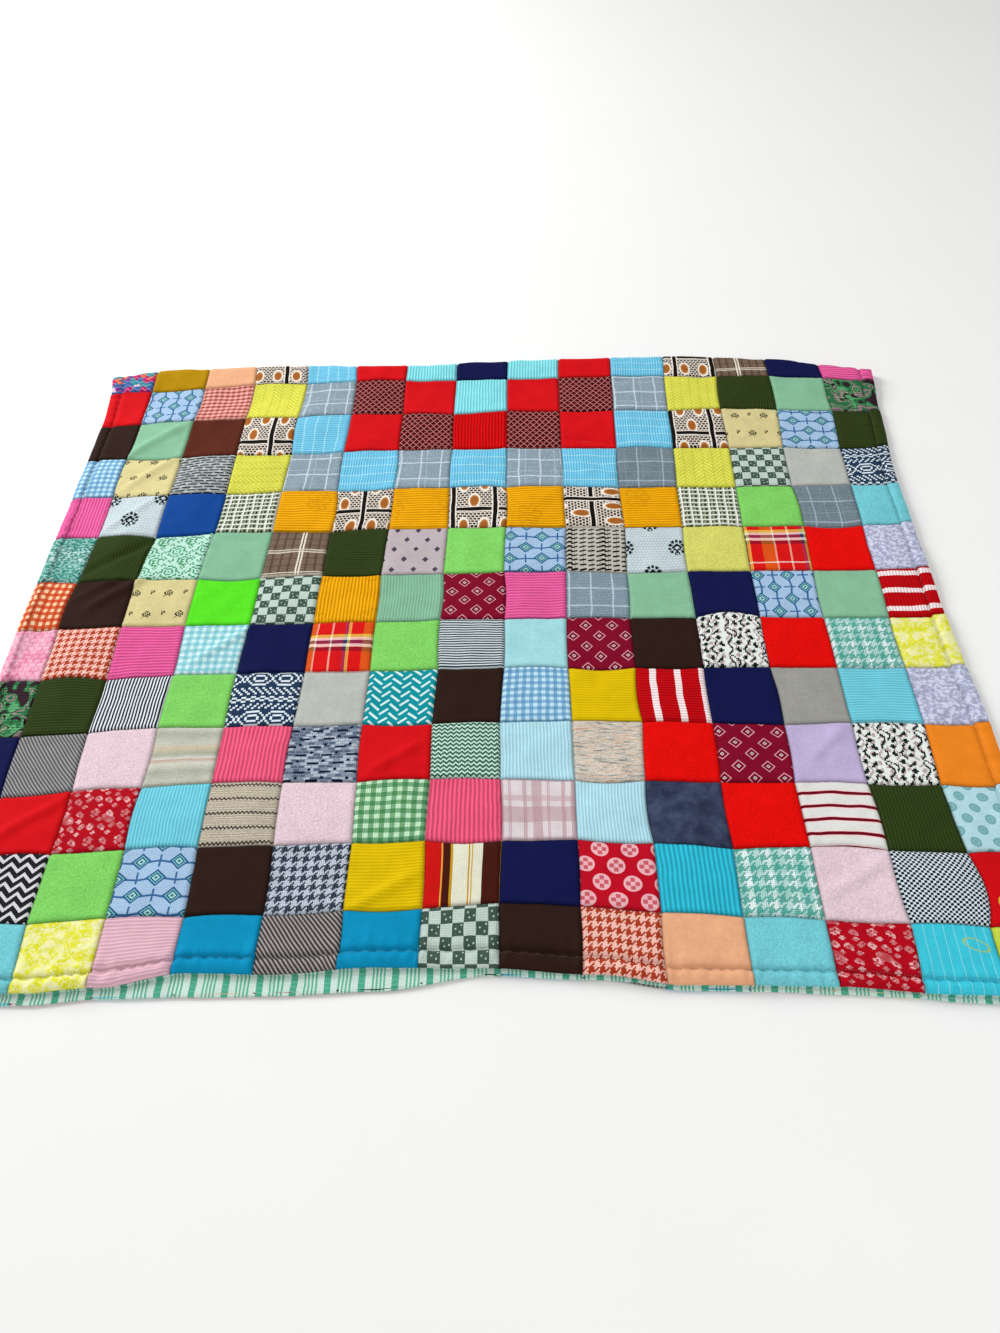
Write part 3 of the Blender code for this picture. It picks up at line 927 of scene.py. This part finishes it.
        motif((5.0, 5.0), (1.9, 1.9), "#dde9ed", stagger=True, opacity=0.7),
        chart("sprig", 1.9, "#131c1e", cell=(80, 49), stagger=True)]),
    "ovals": fabric("#e6dacd", "fine", wobble=1.2, layers=[
        motif((6.2, 5.0), (2.2, 1.7), "#1f1815", "box", stagger=True),
        *(motif((64, 89), (9, 17), [(0, "#a8622a"), (0.55, "#bf7d3a"), (0.74, "#f8efe4"),
              (1, None)], at=at) for at in ((32, 17), (16, 55), (48, 55))),
        bands(alongWay, 89, [(0, "#f6ede3"), (0.02, "#140f0d"), (0.1, "#f6ede3"),
              (0.12, None)], start=-5.5),
        bands(acrossWay, 64, [(0, "#f6ede3"), (0.028, "#140f0d"), (0.13, "#f6ede3"),
              (0.158, None)], start=-5.4)]),
    "leafVine": fabric("#edf3f0", "smooth", wobble=2.5, layers=[
        chart("vine", 2.0, "#8c3f4e", at=(17, 21), opacity=0.6),
        chart("vine", 2.2, "#15231f")]),
    "redFloral": fabric("#b8061a", "smooth", wobble=2.0, layers=[
        motif((52, 47), (9.5, 5.5), "#d98a90", at=(12, 20), turn=25, opacity=0.7),
        chart("blooms", 1.9, "#f6c8cb", opacity=0.72),
        mottle(14, [(0, None), (0.46, None), (0.47, "#b40a1e")], fade="CONSTANT", opacity=0.6)]),
    "mintOutline": fabric("#c3eddd", "smooth", wobble=1.5, layers=[chart("outline", 2.6, "#459869")]),
    "tealSpeckle": fabric("#9ccfcb", "crepe", layers=[
        mottle(3.6, [(0.42, "#1a7564"), (0.52, "#6fb0a8"), (0.62, "#d3efee")], stretch=(1.3, 0.8)),
        bands(alongWay, 62, [(0, "#2f9282"), (0.5, None), (0.6, "#2f9282")], 0.35, fade="LINEAR")]),
    "lavenderMottle": fabric("#b9bdd9", "smooth", layers=[
        mottle(5.0, [(0.4, "#a9adca"), (0.5, "#bcc1dd"), (0.58, "#d9ddf4")])]),
    "yellowMarble": fabric("#f3f290", "smooth", layers=[
        mottle(15.0, [(0.42, "#f6f4a6"), (0.5, "#ebeb44"), (0.62, "#e4e42c")]),
        mottle(7.0, [(0.46, None), (0.485, "#fdfbd8"), (0.51, "#fdfbd8"),
              (0.535, None)], fade="CONSTANT", opacity=0.75)]),
    "denim": fabric("#39425c", "woven", toneShare=0.8, layers=[
        mottle(22.0, [(0.32, "#2b334d"), (0.5, "#39425c"), (0.66, "#464f6c")])]),
    "paisleyDot": fabric("#bde5ee", "smooth", layers=[
        motif((25, 15.5), (5.8, 6.4), [(0, "#7fb7bd"), (0.4, "#93c6cb"), (0.6, "#7ab3ba"),
              (1, None)], stagger=True)]),
    "abstract": fabric("#3f8d58", "woven", wobble=2.0, layers=[
        mottle(34.0, [(0, "#36202c"), (0.4, "#2f7d4b"), (0.47, "#62b276"), (0.52, "#33192b"),
              (0.57, "#8fa884"), (0.62, "#a27f90"), (0.68, "#2f7d4b")], fade="CONSTANT", detail=0.0),
        stripe(alongWay, 4.6, "#1c141a", 0.36, 0.5)]),
    "confetti": fabric("#2b4f9c", "smooth", wobble=2.0, layers=[
        shards(9.0, [(0, "#3566a0"), (0.4, "#7b2f8c"), (0.52, "#c21c64"), (0.7, "#2f8f9c"),
              (0.8, "#e86a3c"), (0.9, "#dcc4d4")]),
        stripe(alongWay, 9, "#e6c8da", 0.1, 0.6, zig=(6, 5))]),
    "pinstripeSwirl": fabric("#3ecbe2", "fine", layers=[
        stripe(acrossWay, 11.2, "#7edbe8", 0.11, 0.8),
        motif((178, 178), (17, 9), [(0, None), (0.72, "#a3c46c"), (0.92, None)], at=(66, 64),
              turn=20, opacity=0.8)]),
    "goldRing": fabric("#d60c14", "fine", layers=[
        motif((178, 178), (8, 8), [(0, None), (0.72, "#e3b233"), (0.94, None)], at=(17, 29))]),
}

for knit, dyed in plainCloths.items():
    words = dyed.split()
    cloths.update({name: fabric(ground, knit) for name, ground in zip(words[::2], words[1::2])})

# Cloths from left to right, from the centre row at the fold out to the hem. A turned patch is
# marked <, and @ gives where a pattern starts, in hundredths of a patch.
rowCloths = [
    "confetti mustard peach ovals@60,-40 skyGrid< red aquaRib navy aquaRib red skyGrid ovals@22,60 "
    "brownPlaid navy hotPinkRib<",
    "red blueDiamond<@52,48 redGingham yellowKey slubPane@48,32 spadeLattice red aquaRib red spadeLattice "
    "slubPane@40,10 yellowKey greenRib mint abstract",
    "darkBrown mint chestnut ovals@60,30 skyGrid< red spadeLattice redRib spadeLattice red skyGrid "
    "ovals@75,36 blackRose blueDiamond@50,45 greenRib<",
    "skyGingham blackRose brokenDash yellowKey< slubPane@38,40 skyGrid slubPane@42,62 skyGrid "
    "slubPane@20,24 skyGrid slubPaneDark@34,60 yellowKey checkDot lightGrey aztecChain",
    "hotPinkRib blackSprig@48,36 royal basketPlaid orangeFlower ovals@50,45 orangeFlower ovals@80,42 "
    "orangeFlower ovals<@48,68 orangeFlower basketPlaid lime slubPaneDark@64,56 aqua",
    "tealSpeckle greenRib mintOutline mint brownPlaid@54,50 greenRib< lilacDiamond lime blueDiamond "
    "greyDash blackSprig@88,52 paleYellow madras@10,30 orangeRed lavenderMottle",
    "orangeGingham brownTwill blackRose neonGreen checkDot orangeFlower< mintRib maroonDiamond "
    "hotPinkRib< slubPaneBlue mint navy blueDiamond< mint redStripe<@0,12",
    "pinkFoam houndRed hotPinkRib< aquaGingham navy madras lime blackStripe paleAqua maroonDiamond "
    "darkBrown leafVine orangeRed tealLace yellowMarble",
    "abstract greenRib< navyStripe lime aztecChain lightGrey herringbone darkBrown skyGingham gold "
    "redStripe@20,12 navy taupe skyRib< lavenderMottle",
    "navy diagonal pinkCrepe sageStriate coralRib navyDash red greenTweed paleBlueRib spaceDye orangeRed "
    "maroonDiamond lilac leafVine tangerine",
    "mint red redFloral skyRib beigeZigzag pinkCrepe greenGingham coralRib mauvePlaid paleBlueRib denim "
    "orangeRed redPinstripe greenRib paisleyDot",
    "lilac zigzag lime blueDiamond brownTwill houndNavy gold wideStripe@0,0 navy wheels@28,38 "
    "turquoiseRib tealLace pinkCrepe navyCheck goldRing@0,0",
    "navy aqua yellowMarble rosePink cerulean diagonalBrown cerulean checkDot brownTwill houndRed peach "
    "aqua redFloral pinstripeSwirl@0,0 citron",
]

materials = {name: makeCloth(name, cloth) for name, cloth in cloths.items()}
print(len(materials), "cloths made")


patchwork = {
    "seed": 21,
    "dome": (0.5, 1.7),        # how far a patch stands up in its middle, mm
    "outerWidths": {0: 67.0, 14: 74.0},     # finished width of the first and last column, mm
    "lastDepth": 0.85,         # the lower half's last row, in patches
    # how far the hem line drags the left, right and front seams round the quilt, how far in (mm)
    # the drag ends, and over what width
    "hemDrag": (0.003, 0.004, 0.002),
    "dragReach": 19.5,
    "dragFade": 3,
    "bakeColumns": 4,          # patches side by side on the bake layout
}


def patchSize(row, column):
    # finished width and height, mm
    size = 1000 * patch
    width = patchwork["outerWidths"].get(column, size)
    if row == 0:
        return width, -1000 * edgeAt((column - 7) * patch, 1)
    return width, (patchwork["lastDepth"] * size if row == quilt["rows"] - 1 else size)


def sewRow(row, chance, walls):
    # rows run from the fold; the lower half repeats them turned end for end
    fromFold = abs(12 - row)
    names = rowCloths[fromFold].split()
    if row > 12:
        names = names[::-1]
    isUpper = row <= 12
    rows, columns = quilt["rows"], quilt["columns"]
    leftDrag, rightDrag, frontDrag = patchwork["hemDrag"]
    reach, fade = patchwork["dragReach"], patchwork["dragFade"]
    wide = patchwork["bakeColumns"]
    mesh = bmesh.new()
    uvLayer = mesh.loops.layers.uv.new("patchUV")
    bakeLayer = mesh.loops.layers.uv.new("OFBake")
    shadeLayer = mesh.verts.layers.float.new("seamShade")
    slots = []
    for column in range(columns):
        width, height = patchSize(row, column)
        across = axisStops(width, column == 0, column == columns - 1, isUpper)
        along = axisStops(height, row == 0, row == rows - 1, isUpper)
        name, _, start = names[column].partition("@")
        if start:
            phase = [0.01 * 1000 * patch * float(part) for part in start.split(",")]   # mm
        else:
            phase = [chance.uniform(0, 500) for axis in range(2)]
        isTurned = name.endswith("<")
        name = name.strip("<")
        domeHeight = chance.uniform(*patchwork["dome"]) if isUpper else 0.0
        if name not in slots:
            slots.append(name)
        places = patchPlaces(row, column, [stop[0] / width for stop in across],
                             [stop[0] / height for stop in along])
        creases = creasesNear(row, column) if isUpper else ()
        grid = bmesh.ops.create_grid(mesh, x_segments=len(across) - 1, y_segments=len(along) - 1, size=1.0)
        stops = {}
        for vertex in grid["verts"]:
            i = round((vertex.co.x + 1) / 2 * (len(across) - 1))
            j = round((vertex.co.y + 1) / 2 * (len(along) - 1))
            placeX, dropX, clothX = across[i]
            placeY, dropY, clothY = along[j]
            s, t = placeX / width, placeY / height
            x, path = places[i, j]
            inland = min(1, placeY / 20 if row == 0 else 1)
            if column == columns - 1:
                path += rightDrag * smooth((reach - width + placeX) / fade) * inland
            if column == 0:
                path -= leftDrag * smooth((reach - placeX) / fade) * inland
            if row == 0:
                x += frontDrag * smooth((reach - placeY) / fade) * min(1, 5 * s, 5 * (1 - s))
            # the side hems are pulled less tight than the open edges'
            sides = [(placeX, 0.6 * (column == 0), 1000 * path),
                     (width - placeX, 0.6 * (column == columns - 1), 1000 * path),
                     (placeY, float(row == 0), 1000 * x),
                     (height - placeY, float(row == rows - 1), 1000 * x)]
            dome = domeHeight * max(0.0, math.sin(math.pi * s) * math.sin(math.pi * t)) ** 0.7
            raised, shade = patchRelief(x, path, sides, dome, isUpper, creases)
            drop = max(dropX, dropY)
            proud = halfTop + 0.001 * (raised - drop)
            place = lieAt(x, path, proud)
            place.z = max(place.z, 0.0)
            vertex.co = place + shift
            # painted shade for the seams and the hem's valley, read by every cloth
            vertex[shadeLayer] = shade
            stops[vertex] = (clothX, clothY)
        turned = (lambda u, v: (v, -u)) if isTurned else (lambda u, v: (u, v))
        for face in {face for vertex in grid["verts"] for face in vertex.link_faces}:
            face.material_index = slots.index(name)
            face.smooth = True
            for loop in face.loops:
                clothX, clothY = stops[loop.vert]
                u, v = turned(clothX - phase[0], clothY - phase[1])
                loop[uvLayer].uv = (0.001 * u, 0.001 * v)
                loop[bakeLayer].uv = ((column % wide + 0.5 + 0.8 * (clothX / width - 0.5)) / wide,
                                      (column // wide + 0.5 + 0.8 * (clothY / height - 0.5)) / wide)
    bmesh.ops.remove_doubles(mesh, verts=mesh.verts, dist=0.00002)
    mesh.verts.index_update()
    if isUpper:
        first = len(walls[0])
        walls[0].extend(vertex.co.copy() for vertex in mesh.verts)
        walls[1].extend([first + vertex.index for vertex in face.verts] for face in mesh.faces)
    strip = finishPiece(f"patchworkRow{row + 1}", mesh, *(materials[name] for name in slots))
    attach(strip, "root")
    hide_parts("patchwork_top")
    # the front strip's depth is the one that fits its uneven surface
    return strip


chance = random.Random(patchwork["seed"])
walls = ([], [])
strips = [sewRow(row, chance, walls) for row in range(quilt["rows"])]
print("patchwork sewn:", sum(len(strip.data.polygons) for strip in strips), "faces")


backing = {
    "inset": 0.0024,           # from the middle of the patchwork to the backing's face
    "peek": 0.0012,            # how far it shows past the patchwork along the upper edge
    "ripple": 0.0006,
    "overhang": 0.0012,        # how far it passes the lower edge
    "sideInset": 0.0012,       # how far it stays inside the sides
    "length": 2.2,
    "span": 14.6,              # width in patches that the stops cover
    "columns": 240,
}


def makeBacking():
    # striped cotton: woven in coloured warp stripes, sea green on pale mint, 37 mm to the
    # repeat, puckered crosswise by washing, with the puckers' shade painted as faint darker lines
    material = makeCloth("stripedCotton", fabric("#d9efe6", "woven", wobble=1.2, toneShare=0.4, layers=[
        bands(acrossWay, 37.0, [(0, "#4fb394"), (0.2, None), (0.4, "#5dbd9d"), (0.454, None),
                                (0.514, "#5dbd9d"), (0.568, None), (0.627, "#5dbd9d"), (0.681, None),
                                (0.74, "#5dbd9d"), (0.795, None)]),
        # painted shade of the crosswise puckers: faint darker lines 5.2 mm apart
        stripe(alongWay, 5.2, "#b9d6cb", 0.3, 0.35, fade="LINEAR")]))
    endStops = [0, 0.001, 0.0025, 0.005, 0.009, 0.013, 0.0165, 0.018, 0.0195, 0.023, 0.03, 0.045]
    total = backing["length"]
    middle = [0.06 + (total - 0.12) * step / 110 for step in range(111)]
    alongStops = endStops + middle + [total - stop for stop in reversed(endStops)]
    mesh = bmesh.new()
    uvLayer = mesh.loops.layers.uv.new("patchUV")
    bakeLayer = mesh.loops.layers.uv.new("OFBake")
    rows = len(alongStops) - 1
    grid = bmesh.ops.create_grid(mesh, x_segments=backing["columns"], y_segments=rows, size=1.0)
    stops = {}
    for vertex in grid["verts"]:
        s = (vertex.co.x + 1) / 2
        at = alongStops[round((vertex.co.y + 1) / 2 * rows)]
        across = (s - 0.5) * backing["span"] * patch
        upperEnd = edgeAt(across, 1) - backing["peek"] - backing["ripple"] * math.sin(across / 0.0021)
        lowerEnd = lowerEndAt(across) + backing["overhang"]
        path = upperEnd + (lowerEnd - upperEnd) * at / total
        left = sidePlace(path, 1) + backing["sideInset"]
        right = sidePlace(path, 2) - backing["sideInset"]
        x = left + (right - left) * s
        away = min(at, total - at, s * 1.3, (1 - s) * 1.3) * 1000
        # the topstitching's valley, the puckers beside it, and the lower half's rolled end
        valley = math.exp(-((away - relief["hemLine"]) / 1.6) ** 2)
        sink = 0.0
        if at > total / 2:
            pucker = math.sin(x / 0.0009 + 2 * math.sin(path / 0.004))
            sink = -0.5 * valley + 0.25 * pucker * math.exp(-away / 25)
        elif away > 1.2:
            sink = 0.5 * valley + 0.35 * math.sin(path / 0.00083) * math.exp(-away / 20)
        proud = -backing["inset"] - 0.001 * sink
        if at > total / 2:
            proud += 0.0009 * smooth(1 - away / 1.6)
        vertex.co = lieAt(x, path, proud) + shift
        stops[vertex] = (x + 1, path + 1, s, at / total)
    for face in mesh.faces:
        face.smooth = True
        for loop in face.loops:
            x, path, s, t = stops[loop.vert]
            loop[uvLayer].uv = (x, path)
            loop[bakeLayer].uv = (0.02 + 0.96 * s, 0.02 + 0.96 * t)
    # the backing shows its face to the inside of the fold
    bmesh.ops.reverse_faces(mesh, faces=mesh.faces)
    cloth = finishPiece("backingCloth", mesh, material)
    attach(cloth, "root")
    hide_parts("backing")


makeBacking()
print("backing laid")


stitching = {
    "pitch": 0.0036,
    "long": 0.0026,
    "thick": 0.00022,
    "inset": 0.018,
    "colour": "#827e76",
    "wornColour": "#6a675f",
}


def sewHem():
    # polyester thread, spun and slightly glossy: small quiet grey dashes in the hem line
    thread, tree = emptyMaterial("hemThread")
    spot = addNode(tree, "TexCoord").outputs["Object"]
    worn = addNode(tree, "TexNoise", spot, 400.0, 2.0)
    colour = addNode(tree, "Mix", worn, stitching["wornColour"], stitching["colour"], data_type="RGBA")
    twist = addNode(tree, "TexWave", spot, 900.0)
    bump = addNode(tree, "Bump", 0.4, 0.0002, None, twist)
    shader = addNode(tree, "BsdfPrincipled", {"Base Color": colour, "Roughness": 0.55, "Normal": bump})
    addNode(tree, "OutputMaterial", shader)

    cloth = BVHTree.FromPolygons(*walls)
    inset, pitch = stitching["inset"], stitching["pitch"]
    line = []
    x = leftmost + inset
    while x < rightmost - inset:
        line.append((x, edgeAt(x, 1) + inset, 0.0))
        x += pitch
    for column, sign in ((1, 1), (2, -1)):
        outer = -7 * sign * patch
        y = edgeAt(outer, 1) + inset
        while y < foldAt(outer):
            line.append((sideAt(y, column) + sign * inset, y, math.pi / 2))
            y += pitch
    single = bmesh.new()
    size = Matrix.Diagonal((stitching["long"] / 2, stitching["thick"], stitching["thick"], 1.0))
    bmesh.ops.create_uvsphere(single, u_segments=6, v_segments=4, radius=1.0, matrix=size)
    stitch = bpy.data.meshes.new("stitch")
    single.to_mesh(stitch)
    single.free()
    mesh = bmesh.new()
    for x, y, heading in line:
        above = Vector((x + shift.x, y + shift.y, 0.2))
        hit, normal = cloth.ray_cast(above, Vector((0, 0, -1)))[:2]
        if hit is None:
            continue
        tilt = Vector((0, 0, 1)).rotation_difference(normal).to_matrix().to_4x4()
        laid = stitch.copy()
        laid.transform(Matrix.Translation(hit) @ tilt @ Matrix.Rotation(heading, 4, "Z"))
        mesh.from_mesh(laid)
        bpy.data.meshes.remove(laid)
    for face in mesh.faces:
        face.smooth = True
    stitches = finishPiece("hemStitches", mesh, thread)
    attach(stitches, "root")
    print("hem stitched:", len(line), "stitches")


sewHem()


stage = {
    "floor": "#ffffff",
    "floorMottle": "#fcfcfb",
    "floorSize": 6.0,          # half the floor's width
    "sky": "#fafaf8",
    "skyStrength": 0.48,
    "keyPlace": (-2.9, 2.1, 1.9),
    "keySize": 1.9,
    "keyPower": 141.0,
    "fillPlace": (1.4, -1.6, 2.2),
    "fillSize": 2.4,
    "fillPower": 22.0,
}


def makeStage():
    # painted board, rolled: matt with the faintest mottle
    board, tree = emptyMaterial("paintedBoard")
    spot = addNode(tree, "TexCoord").outputs["Object"]
    cloud = addNode(tree, "TexNoise", spot, 6.0, 3.0)
    colour = addNode(tree, "Mix", cloud, stage["floor"], stage["floorMottle"], data_type="RGBA")
    shader = addNode(tree, "BsdfPrincipled", {"Base Color": colour, "Roughness": 0.9})
    addNode(tree, "OutputMaterial", shader)
    mesh = bmesh.new()
    bmesh.ops.create_grid(mesh, x_segments=2, y_segments=2, size=stage["floorSize"],
                          matrix=Matrix.Translation((0.0, 0.0, -0.0002)))
    floor = finishPiece("floor", mesh, board)

    for name in ("key", "fill"):
        light = bpy.data.lights.new(name, "AREA")
        light.size = stage[name + "Size"]
        light.energy = stage[name + "Power"]
        lamp = bpy.data.objects.new(name, light)
        bpy.context.scene.collection.objects.link(lamp)
        lamp.location = stage[name + "Place"]
        lamp.rotation_euler = Vector(stage[name + "Place"]).to_track_quat("Z", "Y").to_euler()

    world = bpy.data.worlds.new("studio")
    world.use_nodes = True
    background = world.node_tree.nodes["Background"]
    background.inputs["Color"].default_value = hexColour(stage["sky"])
    background.inputs["Strength"].default_value = stage["skyStrength"]
    bpy.context.scene.world = world
    bpy.context.scene.view_settings.view_transform = "Standard"


makeStage()
print("stage lit")
